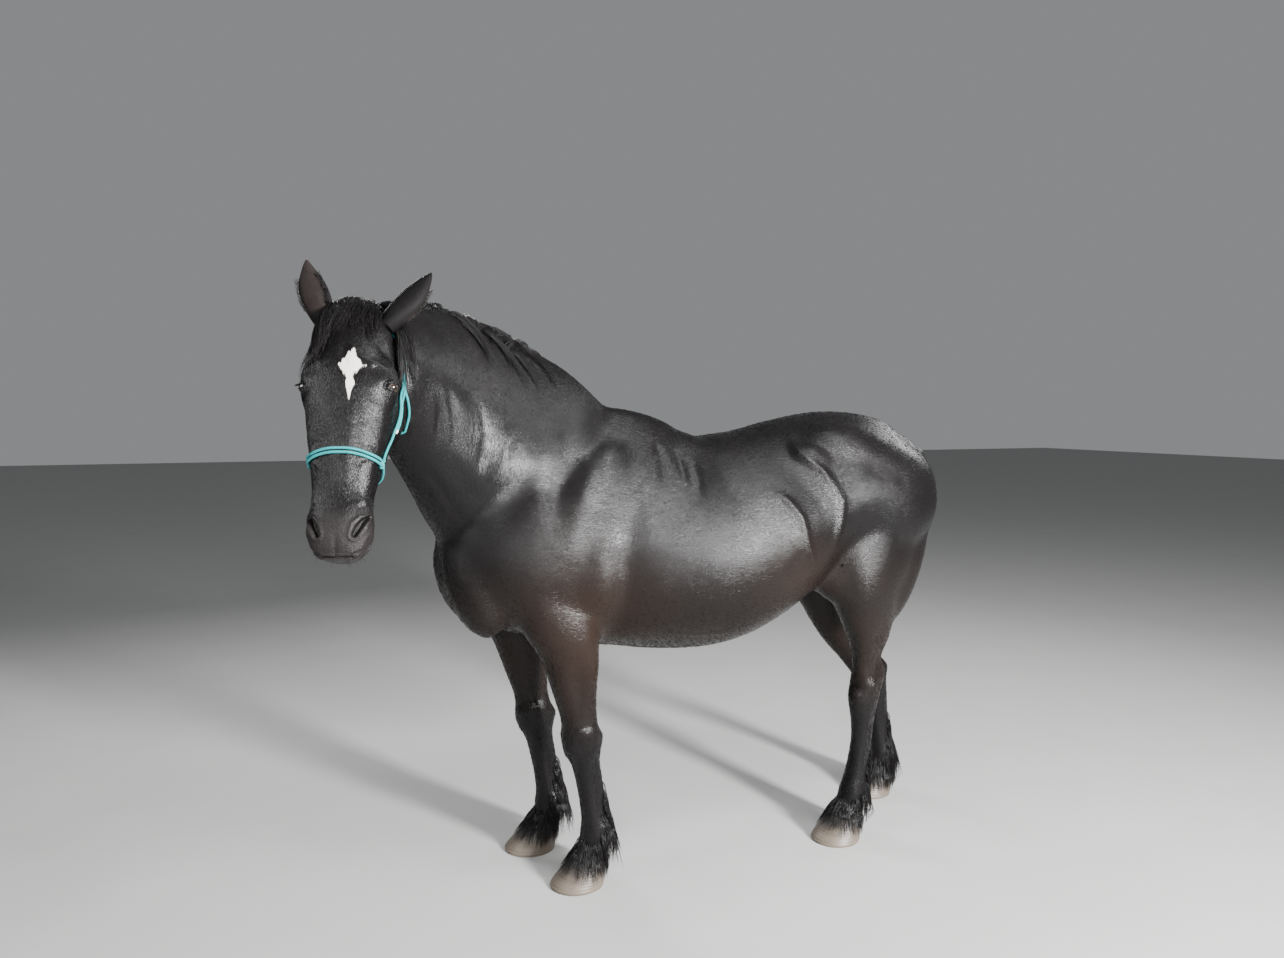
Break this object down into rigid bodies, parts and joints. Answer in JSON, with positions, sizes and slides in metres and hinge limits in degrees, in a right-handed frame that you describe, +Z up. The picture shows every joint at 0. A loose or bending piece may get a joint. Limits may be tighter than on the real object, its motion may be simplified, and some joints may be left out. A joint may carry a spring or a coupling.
{
  "type": "percheron horse model",
  "caption": "Life-size still museum model of a black percheron horse standing on all hooves, head turned to its left, wearing a rope halter.",
  "frame": {"origin": "middle of the bounding box seen from above, at floor level under the hooves", "axes": "+Z up, -Y the way the body faces, +X the horse's left side; the head is turned towards +X"},
  "size_m": [1.0318, 2.4472, 2.0652],
  "materials": {
    "coat": "short glossy black horse coat with a brown tint low on the shoulder and belly, white star on the forehead, black mane and feather",
    "tail_hair": "black horse hair",
    "eyes": "wet dark brown eye",
    "hooves": "grey brown horn with faint growth rings",
    "halter_rope": "braided teal rope"
  },
  "bodies": {
    "root": {"torso": "coat", "neck": "coat", "head": "coat", "tail": "tail_hair", "ear_left": "coat", "ear_right": "coat", "leg_front_left": "coat", "leg_front_right": "coat", "leg_hind_left": "coat", "leg_hind_right": "coat", "eye_left": "eyes", "eye_right": "eyes", "hoof_front_left": "hooves", "hoof_front_right": "hooves", "hoof_hind_left": "hooves", "hoof_hind_right": "hooves", "halter_cheek_left": "halter_rope", "halter_cheek_right": "halter_rope", "halter_chin": "halter_rope", "halter_crown": "halter_rope", "halter_noseband": "halter_rope", "halter_throat": "halter_rope"}
  },
  "joints": []
}
